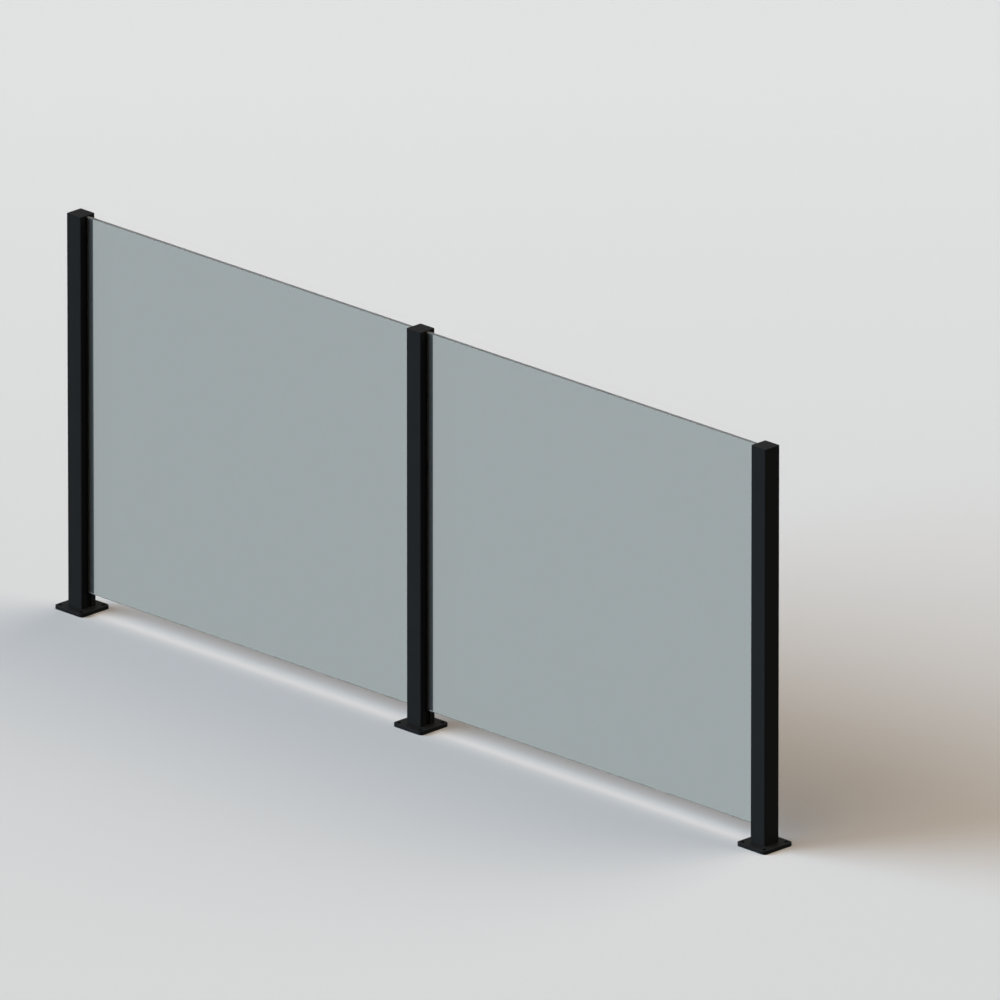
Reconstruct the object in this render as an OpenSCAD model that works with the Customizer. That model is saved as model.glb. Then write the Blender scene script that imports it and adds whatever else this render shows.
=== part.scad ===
// Glass fence: three floor-mounted aluminium channel posts hold two panes of
// toughened glass in rubber gaskets. X runs along the fence, the front faces -Y
// and Z is up. The origin is the centre of the middle base plate's underside.

/* [Run] */
// Distance between the centre lines of neighbouring posts
post_spacing = 1200; // [700:10:1500]
// Height of the fence, from the floor to the top of a cap
fence_h = 1050; // [700:10:1400]

/* [Posts] */
// Outside width of the square post
post_w = 50; // [46:1:70]
// Radius of the post's four outside corners
post_corner_r = 3; // [1:0.5:5]
// Thickness of the post's outer walls, and of the lips at the channel's mouth
post_wall = 2.5; // [2:0.25:3.5]
// Depth of a glazing channel, from the post's face to the channel's floor
channel_depth = 16; // [14:0.5:18]
// Thickness of the channel's side walls and floor
channel_wall = 2; // [1.5:0.25:2.5]
// Thickness of the wall round a screw port, in the post's corners
port_wall = 1.75; // [1.25:0.25:2]
// Width of the slit along a screw port
port_slit = 2; // [1:0.25:3]

/* [Base plates] */
// Width of the square base plate
plate_w = 100; // [90:1:140]
// Thickness of the base plate
plate_t = 10; // [6:1:16]
// Radius of the base plate's corners
plate_corner_r = 10; // [4:1:14]
// Distance between the centres of neighbouring anchor holes
anchor_spacing = 76; // [70:1:80]
// Diameter of an anchor hole
anchor_d = 11; // [8:0.5:12]
// Chamfer round the base plate's edges
plate_chamfer = 0.8; // [0.4:0.1:1.5]

/* [Post screws] */
// Diameter of the screws that hold a post on its base plate
screw_d = 6; // [4.5:0.5:6]
// How much narrower than its screw a port is, for the thread to bite
screw_bite = 0.5; // [0.3:0.1:0.8]
// Room round a screw's shank in the base plate
screw_clearance = 0.3; // [0.1:0.05:0.5]
// Diameter of the countersink for a screw's head
countersink_d = 12.6; // [10:0.1:13]

/* [Caps] */
// Thickness of the cap's plate
cap_t = 3; // [2:0.5:6]
// Chamfer round the cap's edges
cap_chamfer = 0.5; // [0.2:0.1:0.8]
// Depth of the cap's plug inside the post
plug_depth = 15; // [8:1:30]
// Wall of the plug
plug_wall = 2; // [1.5:0.25:3]
// Room between the plug and the post
plug_clearance = 0.2; // [0.1:0.05:0.4]

/* [Glass] */
// Thickness of the glass
glass_t = 10; // [8:1:12]
// Height of the glass's lower edge above the floor
glass_lift = 50; // [30:1:100]
// Polished arris along the glass's edges
glass_arris = 1; // [0.5:0.1:1.5]
// Radius of the glass's corners
glass_corner_r = 2; // [1.5:0.5:6]
// Room between the glass's end and the channel's floor
glass_gap = 3; // [2:0.5:5]

/* [Gaskets] */
// Thickness of a gasket between the glass and the lip of the channel
gasket_t = 2.5; // [2:0.25:3.5]
// Width of the barb that holds a gasket behind the channel's lip
gasket_barb = 1.5; // [1:0.25:2]
// Depth of a gasket behind the channel's lip
gasket_depth = 9; // [6:0.5:10]
// Height of a gasket's bead in front of the post's face
bead_h = 2; // [1:0.25:3]
// Distance from a setting block's face to the post's face
block_setback = 3; // [2:0.5:5]

/* [Hidden] */
// Fineness of a full circle
$fn = 48;
// Thinnest slice that is still cut clear of a face
eps = 0.5;

post_half = post_w / 2;
post_base_z = plate_t;
post_top_z = fence_h - cap_t;
post_h = post_top_z - post_base_z;

// The channel takes the glass and a gasket on each side of it
mouth_w = glass_t + 2 * gasket_t;
channel_w = mouth_w + 2 * gasket_barb;
channel_floor = post_half - channel_depth;
lip_back = post_half - post_wall;

// Screw ports stand in the corners of the post's hollow
port_r = (screw_d - screw_bite) / 2;
port_boss_r = port_r + port_wall;
port_at = lip_back - port_boss_r + port_wall / 2;

plug_half_x = channel_floor - channel_wall - plug_clearance;
plug_half_y = lip_back - plug_clearance;

glass_end = channel_floor + glass_gap;
glass_w = post_spacing - 2 * glass_end;
glass_h = post_top_z - glass_lift;

powder_black = [0.11, 0.12, 0.13];
rubber_black = [0.05, 0.05, 0.06];
glass_grey = [0.62, 0.67, 0.68, 0.55];

// ---- Shared forms ----

// Puts its children at a post: -1 is the left post, 0 the middle, 1 the right
module at_post(place) translate([place * post_spacing, 0, 0]) children();

// Repeats its children in the four quarters of a square
module each_quarter(offset_xy)
    for (sx = [-1, 1], sy = [-1, 1]) translate([sx * offset_xy, sy * offset_xy, 0]) children();

module rounded_square(size, r) {
    square([size, size - 2 * r], center = true);
    square([size - 2 * r, size], center = true);
    each_quarter(size / 2 - r) circle(r);
}

// Outline of a slab's edge: its width across, its thickness up, both edges chamfered
module slab_section(w, t, chamfer)
    polygon([
        [-w / 2 + chamfer, 0], [w / 2 - chamfer, 0], [w / 2, chamfer], [w / 2, t - chamfer],
        [w / 2 - chamfer, t], [-w / 2 + chamfer, t], [-w / 2, t - chamfer], [-w / 2, chamfer]
    ]);

// Flat slab with rounded corners, chamfered round both of its faces
module slab(size_x, size_y, t, corner_r, chamfer) {
    long_x = size_x - 2 * corner_r;
    long_y = size_y - 2 * corner_r;
    rotate([90, 0, 90]) linear_extrude(long_x, center = true) slab_section(size_y, t, chamfer);
    rotate([90, 0, 0]) linear_extrude(long_y, center = true) slab_section(size_x, t, chamfer);
    for (sx = [-1, 1], sy = [-1, 1]) translate([sx * long_x / 2, sy * long_y / 2, 0])
        rotate_extrude() intersection() {
            slab_section(2 * corner_r, t, chamfer);
            translate([0, -eps]) square([corner_r + eps, t + 2 * eps]);
        }
}

// ---- Post ----

// Solid round a glazing channel, which opens towards +X
module channel_block()
    translate([channel_floor - channel_wall, -channel_w / 2 - channel_wall])
        square([channel_depth + channel_wall - eps, channel_w + 2 * channel_wall]);

// Space of a glazing channel: a wide pocket behind a narrower mouth
module channel_space() {
    translate([channel_floor, -channel_w / 2]) square([lip_back - channel_floor, channel_w]);
    translate([channel_floor, -mouth_w / 2]) square([channel_depth + eps, mouth_w]);
}

// Section of the post's extrusion, with a channel towards each of the given sides
module post_section(sides) {
    hollow_w = post_w - 2 * post_wall;
    hollow_r = max(post_corner_r - post_wall, eps);
    difference() {
        rounded_square(post_w, post_corner_r);
        difference() {
            rounded_square(hollow_w, hollow_r);
            for (side = sides) scale([side, 1]) channel_block();
            each_quarter(port_at) circle(port_boss_r);
        }
        for (side = sides) scale([side, 1]) channel_space();
        each_quarter(port_at) circle(port_r);
        for (sy = [-1, 1]) translate([0, sy * port_at])
            square([2 * port_at, port_slit], center = true);
    }
}

module post(place, sides)
    color(powder_black) at_post(place) translate([0, 0, post_base_z])
        linear_extrude(post_h) post_section(sides);

module post_left() post(-1, [1]);
module post_middle() post(0, [-1, 1]);
module post_right() post(1, [-1]);

// ---- Base plate ----

// Slab with anchor holes, and countersunk holes for the screws up into the post
module base_plate(place)
    color(powder_black) at_post(place) difference() {
        slab(plate_w, plate_w, plate_t, plate_corner_r, plate_chamfer);
        each_quarter(anchor_spacing / 2)
            translate([0, 0, -eps]) cylinder(d = anchor_d, h = plate_t + 2 * eps);
        each_quarter(port_at) screw_hole();
    }

// Clearance hole through the base plate, with a right-angled countersink from below
module screw_hole() {
    hole_r = screw_d / 2 + screw_clearance;
    sink_r = countersink_d / 2;
    translate([0, 0, -eps]) cylinder(r = hole_r, h = plate_t + 2 * eps);
    translate([0, 0, -eps]) cylinder(r1 = sink_r + eps, r2 = hole_r, h = sink_r + eps - hole_r);
}

module base_plate_left() base_plate(-1);
module base_plate_middle() base_plate(0);
module base_plate_right() base_plate(1);

// ---- Cap ----

// Plate over the post's end, with a plug that grips the middle of the hollow
module cap(place)
    color(powder_black) at_post(place) translate([0, 0, post_top_z]) {
        slab(post_w, post_w, cap_t, post_corner_r, cap_chamfer);
        translate([0, 0, -plug_depth]) linear_extrude(plug_depth + cap_t / 2) difference() {
            square([2 * plug_half_x, 2 * plug_half_y], center = true);
            square([2 * (plug_half_x - plug_wall), 2 * (plug_half_y - plug_wall)], center = true);
        }
    }

module cap_left() cap(-1);
module cap_middle() cap(0);
module cap_right() cap(1);

// ---- Glass ----

// Pane between two posts, with its ends inside their channels
module pane(bay)
    color(glass_grey)
        translate([bay * post_spacing / 2, glass_t / 2, glass_lift + glass_h / 2])
            rotate([90, 0, 0]) slab(glass_w, glass_h, glass_t, glass_corner_r, glass_arris);

module glass_left() pane(-1);
module glass_right() pane(1);

// ---- Gaskets and setting blocks ----

// Section of the gasket behind the glass: barb, neck and rounded bead, against the glass
module gasket_section() {
    bead_overlap = gasket_barb;
    translate([lip_back - gasket_depth, glass_t / 2])
        square([gasket_depth, gasket_t + gasket_barb]);
    translate([lip_back - eps, glass_t / 2]) square([post_wall + 2 * eps, gasket_t]);
    translate([post_half, glass_t / 2]) {
        square([bead_h, gasket_t + bead_overlap - bead_h]);
        intersection() {
            translate([0, gasket_t + bead_overlap - bead_h]) circle(bead_h);
            square([bead_h, gasket_t + bead_overlap]);
        }
    }
}

// One gasket: the post's place, the side its channel faces, and the face of the glass
module gasket(place, side, face)
    color(rubber_black) at_post(place) translate([0, 0, glass_lift])
        linear_extrude(glass_h) scale([side, face]) gasket_section();

// Block that carries the glass's weight in the foot of a channel
module setting_block(place, side)
    color(rubber_black) at_post(place) translate([0, 0, post_base_z])
        linear_extrude(glass_lift - post_base_z) scale([side, 1])
            translate([channel_floor, -glass_t / 2])
                square([channel_depth - block_setback, glass_t]);

module gasket_left_outer_front() gasket(-1, 1, -1);
module gasket_left_outer_rear() gasket(-1, 1, 1);
module gasket_left_inner_front() gasket(0, -1, -1);
module gasket_left_inner_rear() gasket(0, -1, 1);
module gasket_right_inner_front() gasket(0, 1, -1);
module gasket_right_inner_rear() gasket(0, 1, 1);
module gasket_right_outer_front() gasket(1, -1, -1);
module gasket_right_outer_rear() gasket(1, -1, 1);

module setting_block_left_outer() setting_block(-1, 1);
module setting_block_left_inner() setting_block(0, -1);
module setting_block_right_inner() setting_block(0, 1);
module setting_block_right_outer() setting_block(1, -1);

base_plate_left();
base_plate_middle();
base_plate_right();
post_left();
post_middle();
post_right();
cap_left();
cap_middle();
cap_right();
glass_left();
glass_right();
gasket_left_outer_front();
gasket_left_outer_rear();
gasket_left_inner_front();
gasket_left_inner_rear();
gasket_right_inner_front();
gasket_right_inner_rear();
gasket_right_outer_front();
gasket_right_outer_rear();
setting_block_left_outer();
setting_block_left_inner();
setting_block_right_inner();
setting_block_right_outer();
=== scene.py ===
import math

import bmesh
import bpy
from mathutils import Matrix, Vector


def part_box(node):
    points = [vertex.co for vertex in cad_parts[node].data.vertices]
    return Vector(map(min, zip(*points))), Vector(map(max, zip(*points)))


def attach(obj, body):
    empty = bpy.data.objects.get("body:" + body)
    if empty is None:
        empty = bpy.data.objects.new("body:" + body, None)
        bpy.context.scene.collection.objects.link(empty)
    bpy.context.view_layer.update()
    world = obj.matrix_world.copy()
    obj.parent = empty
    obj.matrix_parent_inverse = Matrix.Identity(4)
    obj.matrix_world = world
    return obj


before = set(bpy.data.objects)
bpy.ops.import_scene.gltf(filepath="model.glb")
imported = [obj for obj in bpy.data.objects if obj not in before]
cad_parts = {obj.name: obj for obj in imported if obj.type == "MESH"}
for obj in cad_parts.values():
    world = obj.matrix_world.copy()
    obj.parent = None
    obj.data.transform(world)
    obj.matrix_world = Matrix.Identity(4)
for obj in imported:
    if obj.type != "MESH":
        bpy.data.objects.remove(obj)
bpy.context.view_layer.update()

mm = 0.001
um = 0.000001
postNames = ["left", "middle", "right"]
print("frame loaded:", len(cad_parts), "nodes")


# Camera: a very long lens, so that the run is seen almost without perspective
viewpoint = {
    "azimuth": 45,  # degrees round from straight on, towards the right-hand post
    "elevation": 20,
    "lens": 1600,  # mm
    "sensor": 36,  # mm
    "pictureWidth": 2.473,  # m across at the point looked at
    "aim": (0.278, 0, 0.669),  # m, on the middle plane of the panes
    "seesTo": 3,  # times its distance from the aim
}


def directionTo(azimuth, elevation):
    # out from the object to what stands at that azimuth and height
    a = math.radians(azimuth)
    e = math.radians(elevation)
    return Vector((math.sin(a) * math.cos(e), -math.cos(a) * math.cos(e), math.sin(e)))


def placeCamera(look):
    data = bpy.data.cameras.new("camera")
    data.type = "PERSP"
    data.lens = look["lens"]
    data.sensor_width = look["sensor"]
    camera = bpy.data.objects.new("camera", data)
    bpy.context.collection.objects.link(camera)
    out = directionTo(look["azimuth"], look["elevation"])
    distance = look["pictureWidth"] * look["lens"] / look["sensor"]
    camera.location = Vector(look["aim"]) + out * distance
    camera.rotation_mode = "QUATERNION"
    camera.rotation_quaternion = (-out).to_track_quat("-Z", "Y")
    data.clip_end = distance * look["seesTo"]
    bpy.context.scene.camera = camera


placeCamera(viewpoint)
bpy.context.scene.view_settings.view_transform = "Standard"
print("camera placed")


# Nodes that several materials share
def newFinish(name, look):
    material = bpy.data.materials.new(name)
    material.use_nodes = True
    tree = material.node_tree
    shader = tree.nodes["Principled BSDF"]
    for socket, value in look.get("shader", {}).items():
        shader.inputs[socket].default_value = value
    place = tree.nodes.new("ShaderNodeTexCoord").outputs["Object"]
    return material, tree, shader, place


def patches(tree, place, size, detail):
    # soft noise from 0 to 1; size is how far apart its patches lie, in m along x, y and z
    mapping = tree.nodes.new("ShaderNodeMapping")
    mapping.inputs["Scale"].default_value = [1 / length for length in size]
    tree.links.new(place, mapping.inputs["Vector"])
    noise = tree.nodes.new("ShaderNodeTexNoise")
    noise.inputs["Scale"].default_value = 1
    noise.inputs["Detail"].default_value = detail
    tree.links.new(mapping.outputs["Vector"], noise.inputs["Vector"])
    return noise.outputs["Fac"]


def ranged(tree, factor, low, high):
    node = tree.nodes.new("ShaderNodeMapRange")
    node.inputs["To Min"].default_value = low
    node.inputs["To Max"].default_value = high
    tree.links.new(factor, node.inputs["Value"])
    return node.outputs["Result"]


def blended(tree, factor, first, second):
    # mix of two colours, each a triple or a socket
    node = tree.nodes.new("ShaderNodeMix")
    node.data_type = "RGBA"
    tree.links.new(factor, node.inputs["Factor"])
    for name, colour in (("A", first), ("B", second)):
        socket = next(s for s in node.inputs if s.name == name and s.type == "RGBA")
        if isinstance(colour, tuple):
            socket.default_value = (*colour, 1)
        else:
            tree.links.new(colour, socket)
    return next(s for s in node.outputs if s.type == "RGBA")


def bumped(tree, shader, *layers):
    # each layer is (height from 0 to 1, real height in m)
    normal = None
    for height, depth in layers:
        node = tree.nodes.new("ShaderNodeBump")
        node.inputs["Strength"].default_value = 1
        node.inputs["Distance"].default_value = depth
        tree.links.new(height, node.inputs["Height"])
        if normal is not None:
            tree.links.new(normal, node.inputs["Normal"])
        normal = node.outputs["Normal"]
    tree.links.new(normal, shader.inputs["Normal"])


# Studio: three wide soft lamps, a plain surround and a pale floor, with painted shade that darkens it
# towards the fence
coolLamp = {
    "azimuth": 309.8,  # front left, low
    "elevation": 10,
    "spread": 58.8,  # degrees across
    "colour": (0.553, 0.778, 1.0),
    "strength": 6.08,
}
highLamp = {
    "azimuth": 328.9,  # front, high
    "elevation": 51.8,
    "spread": 69.0,
    "colour": (1.0, 0.814, 0.624),
    "strength": 1.277,
}
warmLamp = {
    "azimuth": 150.7,  # behind, high
    "elevation": 51.5,
    "spread": 54.0,
    "colour": (1.0, 0.893, 0.788),
    "strength": 1.185,
}
surround = {
    "glow": 0.745,  # what shows past the floor and through the glass
    "mirrored": 0.4,  # what the glass mirrors
    "sheenBelow": 0.065,  # what the rougher finishes pick up from below, and from above
    "sheenAbove": 0.165,
    "sheenTurn": 0.1,  # how steeply a ray rises or falls where either is at its full
}
studioFloor = {
    "side": 300,  # m, past the camera
    "near": (0.8, 0.8, 0.8),
    "far": (0.89, 0.89, 0.89),
    "paintedShade": (0.1, 4.8),  # m behind the middle post, along the view: from near to far, painted shade that darkens the floor towards the fence
    "shader": {"Roughness": 0.9, "Specular IOR Level": 0},
}


def softLamp(name, lamp):
    data = bpy.data.lights.new(name, "SUN")
    data.angle = math.radians(lamp["spread"])
    data.color = lamp["colour"]
    data.energy = lamp["strength"]
    obj = bpy.data.objects.new(name, data)
    bpy.context.collection.objects.link(obj)
    out = directionTo(lamp["azimuth"], lamp["elevation"])
    obj.rotation_mode = "QUATERNION"
    obj.rotation_quaternion = (-out).to_track_quat("-Z", "Y")
    # the lamps light surfaces, but aren't seen in the glass or through it
    obj.visible_glossy = False
    obj.visible_transmission = False


def plainSurround(look):
    world = bpy.data.worlds.new("surround")
    bpy.context.scene.world = world
    world.use_nodes = True
    nodes = world.node_tree.nodes
    links = world.node_tree.links
    nodes.clear()

    def maths(operation, first, second):
        node = nodes.new("ShaderNodeMath")
        node.operation = operation
        for socket, value in zip(node.inputs, (first, second)):
            if isinstance(value, (int, float)):
                socket.default_value = value
            else:
                links.new(value, socket)
        return node.outputs["Value"]

    none = 0.5  # a count of bounces under this is zero
    path = nodes.new("ShaderNodeLightPath").outputs
    straight = maths("MAXIMUM", path["Is Camera Ray"], path["Is Transmission Ray"])
    unturned = maths("LESS_THAN", path["Glossy Depth"], none)
    glow = maths("MULTIPLY", maths("MULTIPLY", straight, unturned), look["glow"])
    onceOff = maths("GREATER_THAN", path["Is Singular Ray"], path["Is Transmission Ray"])
    mirrored = maths("MULTIPLY", onceOff, look["mirrored"])
    heading = nodes.new("ShaderNodeSeparateXYZ")
    links.new(nodes.new("ShaderNodeTexCoord").outputs["Generated"], heading.inputs["Vector"])
    rising = nodes.new("ShaderNodeMapRange")
    rising.inputs["From Min"].default_value = -look["sheenTurn"]
    rising.inputs["From Max"].default_value = look["sheenTurn"]
    rising.inputs["To Min"].default_value = look["sheenBelow"]
    rising.inputs["To Max"].default_value = look["sheenAbove"]
    links.new(heading.outputs["Z"], rising.inputs["Value"])
    sheen = maths("MULTIPLY", path["Is Glossy Ray"], rising.outputs["Result"])
    brightest = maths("MAXIMUM", glow, maths("MAXIMUM", mirrored, sheen))
    undimmed = maths("LESS_THAN", path["Diffuse Depth"], none)
    background = nodes.new("ShaderNodeBackground")
    background.inputs["Color"].default_value = (1, 1, 1, 1)
    links.new(maths("MULTIPLY", brightest, undimmed), background.inputs["Strength"])
    output = nodes.new("ShaderNodeOutputWorld")
    links.new(background.outputs["Background"], output.inputs["Surface"])
    world.cycles.sampling_method = "NONE"


def paleFloor(look):
    material, tree, shader, place = newFinish("pale_floor", look)
    # painted shade: the floor's colour is darker near the fence and lighter far back, along the view
    beyond = tree.nodes.new("ShaderNodeVectorMath")
    beyond.operation = "DOT_PRODUCT"
    beyond.inputs[1].default_value = -directionTo(viewpoint["azimuth"], 0)
    tree.links.new(place, beyond.inputs[0])
    paintedShade = tree.nodes.new("ShaderNodeMapRange")
    paintedShade.inputs["From Min"].default_value = look["paintedShade"][0]
    paintedShade.inputs["From Max"].default_value = look["paintedShade"][1]
    tree.links.new(beyond.outputs["Value"], paintedShade.inputs["Value"])
    colour = blended(tree, paintedShade.outputs["Result"], look["near"], look["far"])
    tree.links.new(colour, shader.inputs["Base Color"])
    mesh = bpy.data.meshes.new("studio_floor")
    bm = bmesh.new()
    bmesh.ops.create_grid(bm, x_segments=1, y_segments=1, size=look["side"] / 2)
    bm.to_mesh(mesh)
    bm.free()
    mesh.materials.append(material)
    floor = bpy.data.objects.new("studio_floor", mesh)
    bpy.context.collection.objects.link(floor)
    # the dark finishes and the glass pick nothing up from the floor
    floor.visible_diffuse = False
    floor.visible_glossy = False
    floor.visible_transmission = False


softLamp("cool_lamp", coolLamp)
softLamp("high_lamp", highLamp)
softLamp("warm_lamp", warmLamp)
plainSurround(surround)
paleFloor(studioFloor)
print("studio set")


# Black polyester powder: orange peel a couple of millimetres across, and a fine grain in the gloss
powderCoat = {
    "dark": (0.0140, 0.0141, 0.0140),
    "light": (0.0180, 0.0181, 0.0180),
    "cloud": 60 * mm,
    "peel": 1.8 * mm,
    "peelHeight": 6 * um,
    "grain": 0.35 * mm,
    "grainHeight": 1.2 * um,
    "roughness": (0.46, 0.6),
    "shader": {"Specular IOR Level": 0.45},
}
# The flat plates and caps take the powder a little thicker, so their peel is coarser
plateCoat = {
    **powderCoat,
    "peel": 2.4 * mm,
}


def powderFinish(name, look):
    material, tree, shader, place = newFinish(name, look)
    cloud = patches(tree, place, [look["cloud"]] * 3, detail=4)
    peel = patches(tree, place, [look["peel"]] * 3, detail=1)
    grain = patches(tree, place, [look["grain"]] * 3, detail=2)
    tree.links.new(blended(tree, cloud, look["dark"], look["light"]), shader.inputs["Base Color"])
    tree.links.new(ranged(tree, grain, *look["roughness"]), shader.inputs["Roughness"])
    bumped(tree, shader, (peel, look["peelHeight"]), (grain, look["grainHeight"]))
    return material


# Drawn EPDM: dull black, with faint drawing lines up its length and a bloom here and there
sealRubber = {
    "dark": (0.0075, 0.0077, 0.0080),
    "light": (0.013, 0.013, 0.0135),
    "lines": (0.5 * mm, 0.5 * mm, 90 * mm),
    "lineHeight": 12 * um,
    "bloom": 14 * mm,
    "roughness": (0.72, 0.9),
    "shader": {"Specular IOR Level": 0.3},
}
# The setting blocks are moulded, so their grain has no direction
blockRubber = {
    **sealRubber,
    "lines": (0.6 * mm, 0.6 * mm, 0.6 * mm),
    "lineHeight": 15 * um,
}


def rubberFinish(name, look):
    material, tree, shader, place = newFinish(name, look)
    lines = patches(tree, place, look["lines"], detail=3)
    bloom = patches(tree, place, [look["bloom"]] * 3, detail=3)
    tree.links.new(blended(tree, bloom, look["dark"], look["light"]), shader.inputs["Base Color"])
    tree.links.new(ranged(tree, lines, *look["roughness"]), shader.inputs["Roughness"])
    bumped(tree, shader, (lines, look["lineHeight"]))
    return material


# Grey toughened glass: clear faces with the faint wave of the furnace rollers, and
# ground edges that are rougher and show the glass's own colour
tintedGlass = {
    "face": (0.540, 0.593, 0.586),
    "edge": (0.98, 1.0, 0.99),
    "edgeRoughness": 0.95,
    "faceTurn": 0.95,  # a normal nearer to straight across than this is on a face
    "wave": (2000 * mm, 2000 * mm, 280 * mm),
    "waveHeight": 15 * um,
    "shader": {"IOR": 1.5, "Transmission Weight": 0.86},
}


def glassFinish(name, look):
    material, tree, shader, place = newFinish(name, look)
    turn = tree.nodes.new("ShaderNodeSeparateXYZ")
    normal = tree.nodes.new("ShaderNodeTexCoord").outputs["Normal"]
    tree.links.new(normal, turn.inputs["Vector"])
    across = tree.nodes.new("ShaderNodeMath")
    across.operation = "ABSOLUTE"
    tree.links.new(turn.outputs["Y"], across.inputs[0])
    edge = tree.nodes.new("ShaderNodeMath")
    edge.operation = "LESS_THAN"
    edge.inputs[1].default_value = look["faceTurn"]
    tree.links.new(across.outputs["Value"], edge.inputs[0])
    isEdge = edge.outputs["Value"]
    tree.links.new(blended(tree, isEdge, look["face"], look["edge"]), shader.inputs["Base Color"])
    tree.links.new(ranged(tree, isEdge, 0, look["edgeRoughness"]), shader.inputs["Roughness"])
    wave = patches(tree, place, look["wave"], detail=0)
    bumped(tree, shader, (wave, look["waveHeight"]))
    return material


# Stainless steel: bright, with a fine satin grain
stainless = {
    "dark": (0.50, 0.49, 0.47),
    "light": (0.62, 0.61, 0.59),
    "grain": 0.4 * mm,
    "grainHeight": 2 * um,
    "roughness": (0.22, 0.4),
    "shader": {"Metallic": 1.0},
}


def steelFinish(name, look):
    material, tree, shader, place = newFinish(name, look)
    grain = patches(tree, place, [look["grain"]] * 3, detail=3)
    tree.links.new(blended(tree, grain, look["dark"], look["light"]), shader.inputs["Base Color"])
    tree.links.new(ranged(tree, grain, *look["roughness"]), shader.inputs["Roughness"])
    bumped(tree, shader, (grain, look["grainHeight"]))
    return material


finishes = {
    "post": powderFinish("powder_coat_post", powderCoat),
    "cap": powderFinish("powder_coat_cap", plateCoat),
    "base_plate": powderFinish("powder_coat_plate", plateCoat),
    "glass": glassFinish("grey_glass", tintedGlass),
    "gasket": rubberFinish("seal_rubber", sealRubber),
    "setting_block": rubberFinish("block_rubber", blockRubber),
}
for name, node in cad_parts.items():
    kind = next(kind for kind in finishes if name.startswith(kind))
    node.data.materials.clear()
    node.data.materials.append(finishes[kind])
steel = steelFinish("stainless_steel", stainless)
print("finishes on", len(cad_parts), "nodes")


# Screws: countersunk M6, up through each base plate into the post's corner ports
countersunkScrew = {
    "across": 18.875 * mm,  # from the post's middle to a port, along x and y alike
    "headRadius": 6.0 * mm,
    "rim": 0.2 * mm,  # the head's straight edge
    "recess": 0.1 * mm,  # how far the head lies inside the plate's underside
    "sinkRadius": 6.3 * mm,  # of the plate's countersink, at its underside
    "socket": 4 * mm,  # across flats
    "socketDepth": 2.2 * mm,
    "drillPoint": 1.0 * mm,  # the hollow cone at the socket's floor
    "coreRadius": 2.45 * mm,
    "crestRadius": 2.95 * mm,
    "pitch": 1.0 * mm,
    "ridge": 0.9 * mm,  # width of the thread's ridge at its foot
    "ridgeSunk": 0.1 * mm,  # how far its foot lies inside the shank
    "tip": 0.8 * mm,  # chamfer at the shank's end
    "length": 25 * mm,
    "sides": 32,
    "tolerance": 0.001 * mm,  # points closer than this are one
}


def spunBody(bm, points, screw):
    # a closed solid of revolution round z, from (radius, height) points that start and end on the axis
    verts = [bm.verts.new((radius, 0, height)) for radius, height in points]
    edges = [bm.edges.new(pair) for pair in zip(verts, verts[1:])]
    bmesh.ops.spin(
        bm,
        geom=verts + edges,
        axis=(0, 0, 1),
        cent=(0, 0, 0),
        dvec=(0, 0, 0),
        angle=math.tau,
        steps=screw["sides"],
        use_merge=True,
    )
    bmesh.ops.remove_doubles(bm, verts=bm.verts, dist=screw["tolerance"])


def threadRidge(bm, screw, start, end):
    # a ridge that winds up the shank, sunk a little into it
    turns = math.floor((end - start) / screw["pitch"])
    inner = screw["coreRadius"] - screw["ridgeSunk"]
    half = screw["ridge"] / 2
    corners = [(inner, start), (screw["crestRadius"], start + half), (inner, start + 2 * half)]
    verts = [bm.verts.new((radius, 0, height)) for radius, height in corners]
    ring = [bm.edges.new(pair) for pair in zip(verts, verts[1:] + verts[:1])]
    steps = turns * screw["sides"]
    bm.faces.new(verts)
    made = bmesh.ops.spin(
        bm,
        geom=verts + ring,
        axis=(0, 0, 1),
        cent=(0, 0, 0),
        dvec=(0, 0, turns * screw["pitch"] / steps),
        angle=math.tau * turns,
        steps=steps,
    )
    last = [v for v in made["geom_last"] if isinstance(v, bmesh.types.BMVert)]
    bm.faces.new(last)


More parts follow.
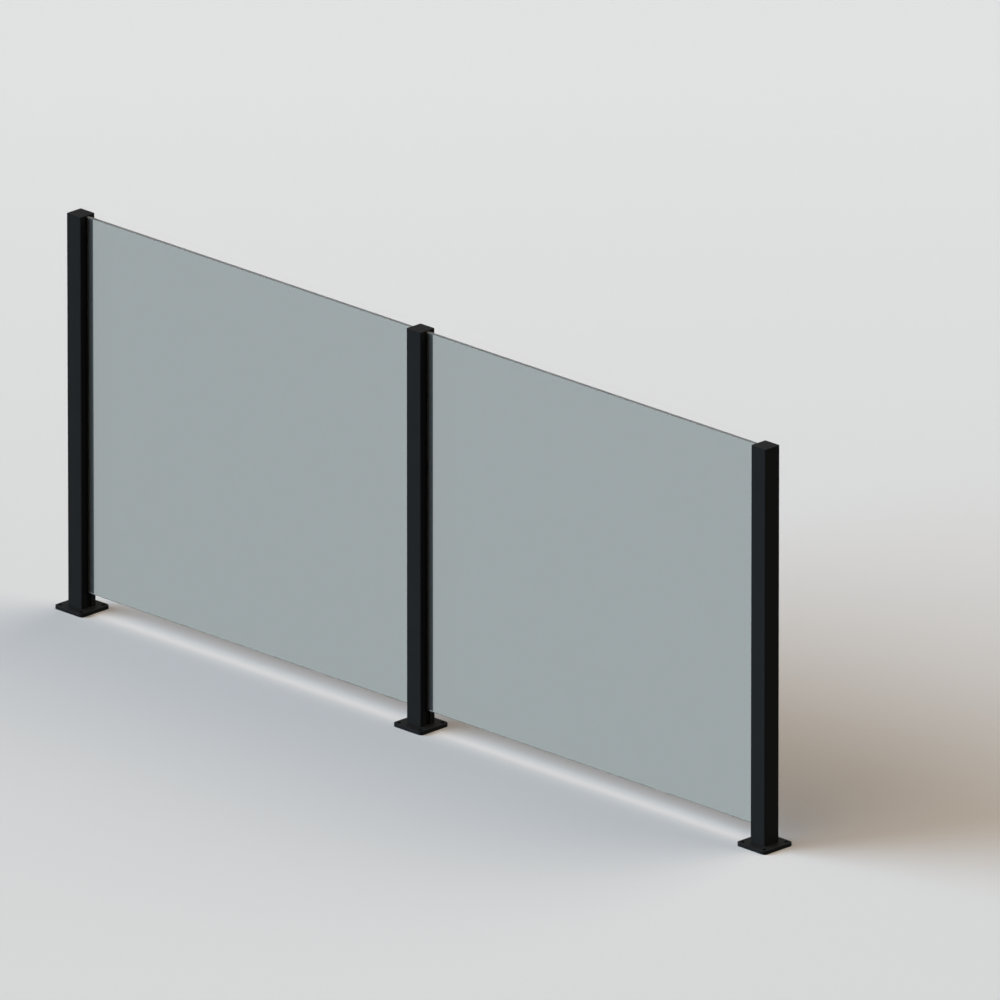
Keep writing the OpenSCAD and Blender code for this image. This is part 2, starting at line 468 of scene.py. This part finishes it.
def countersunk(screw):
    bm = bmesh.new()
    low = screw["recess"]
    seat = low + screw["rim"]
    neck = screw["sinkRadius"] - screw["coreRadius"]
    corner = screw["socket"] / math.sqrt(3)  # of the hexagon, from its middle
    top = screw["length"]
    points = [
        (0, low),
        (screw["headRadius"], low),
        (screw["headRadius"], seat),
        (screw["coreRadius"], neck),
        (screw["coreRadius"], top - screw["tip"]),
        (screw["coreRadius"] - screw["tip"], top),
        (0, top),
    ]
    spunBody(bm, points, screw)
    # the hexagon socket: a ring of head face left round a six-sided hole
    faces = [f for f in bm.faces if f.calc_center_median().z < low + screw["tolerance"]]
    bmesh.ops.delete(bm, geom=faces, context="FACES")
    rim = [e for e in bm.edges if e.is_boundary]
    # its mouth is bridged at the floor's level and then drawn down: two rings in one plane can join twisted
    floorLevel = Matrix.Translation((0, 0, low + screw["socketDepth"]))
    mouth = bmesh.ops.create_circle(bm, segments=6, radius=corner, matrix=floorLevel)["verts"]
    mouthEdges = [e for e in bm.edges if e.verts[0] in mouth and e.verts[1] in mouth]
    bmesh.ops.bridge_loops(bm, edges=rim + mouthEdges)
    wall = bmesh.ops.extrude_edge_only(bm, edges=mouthEdges)["geom"]
    bmesh.ops.translate(bm, verts=mouth, vec=(0, 0, -screw["socketDepth"]))
    floorEdges = [e for e in wall if isinstance(e, bmesh.types.BMEdge) and e.is_boundary]
    floor = bmesh.ops.edgeloop_fill(bm, edges=floorEdges)["faces"]
    point = bmesh.ops.poke(bm, faces=floor)["verts"]
    bmesh.ops.translate(bm, verts=point, vec=(0, 0, screw["drillPoint"]))
    threadRidge(bm, screw, neck + screw["pitch"], top - 2 * screw["pitch"])
    bmesh.ops.recalc_face_normals(bm, faces=bm.faces)
    return bm


def postScrews(name, centre, screw):
    one = bpy.data.meshes.new("one_screw")
    bm = countersunk(screw)
    bm.to_mesh(one)
    bm.free()
    joined = bmesh.new()
    for sideX in (-1, 1):
        for sideY in (-1, 1):
            already = len(joined.verts)
            joined.from_mesh(one)
            joined.verts.ensure_lookup_table()
            place = centre + Vector((sideX * screw["across"], sideY * screw["across"], 0))
            bmesh.ops.translate(joined, verts=joined.verts[already:], vec=place)
    mesh = bpy.data.meshes.new(name)
    joined.to_mesh(mesh)
    joined.free()
    bpy.data.meshes.remove(one)
    mesh.materials.append(steel)
    piece = bpy.data.objects.new(name, mesh)
    bpy.context.collection.objects.link(piece)
    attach(piece, "root")


for side in postNames:
    low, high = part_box("base_plate_" + side)
    middle = (low + high) / 2
    postScrews("post_screws_" + side, Vector((middle.x, middle.y, low.z)), countersunkScrew)
print("screws in", len(postNames), "base plates")
